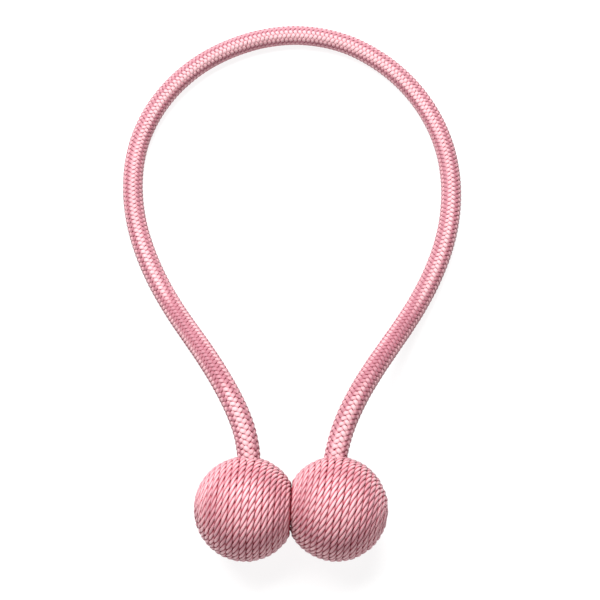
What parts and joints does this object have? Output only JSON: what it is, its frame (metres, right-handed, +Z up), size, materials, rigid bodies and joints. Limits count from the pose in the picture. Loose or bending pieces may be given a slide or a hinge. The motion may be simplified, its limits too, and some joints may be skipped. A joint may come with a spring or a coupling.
{
  "type": "magnetic curtain tieback",
  "caption": "Curtain tieback: a long braided cord in a loop, with a yarn-wound ball at each end that snap together by their flat cheeks.",
  "frame": {"origin": "on the surface that the tieback lies on, midway between the two balls, measured without the cord", "axes": "+X from the left ball to the right ball, +Y from the balls towards the cord's loop, +Z up from the surface"},
  "size_m": [0.1335, 0.2263, 0.0342],
  "materials": {
    "wound_yarn": "silky twisted polyester yarn",
    "braid": "silky round polyester braid"
  },
  "bodies": {
    "root": {"ball_left": "wound_yarn", "ball_right": "wound_yarn", "braided_cord": "braid"}
  },
  "joints": []
}
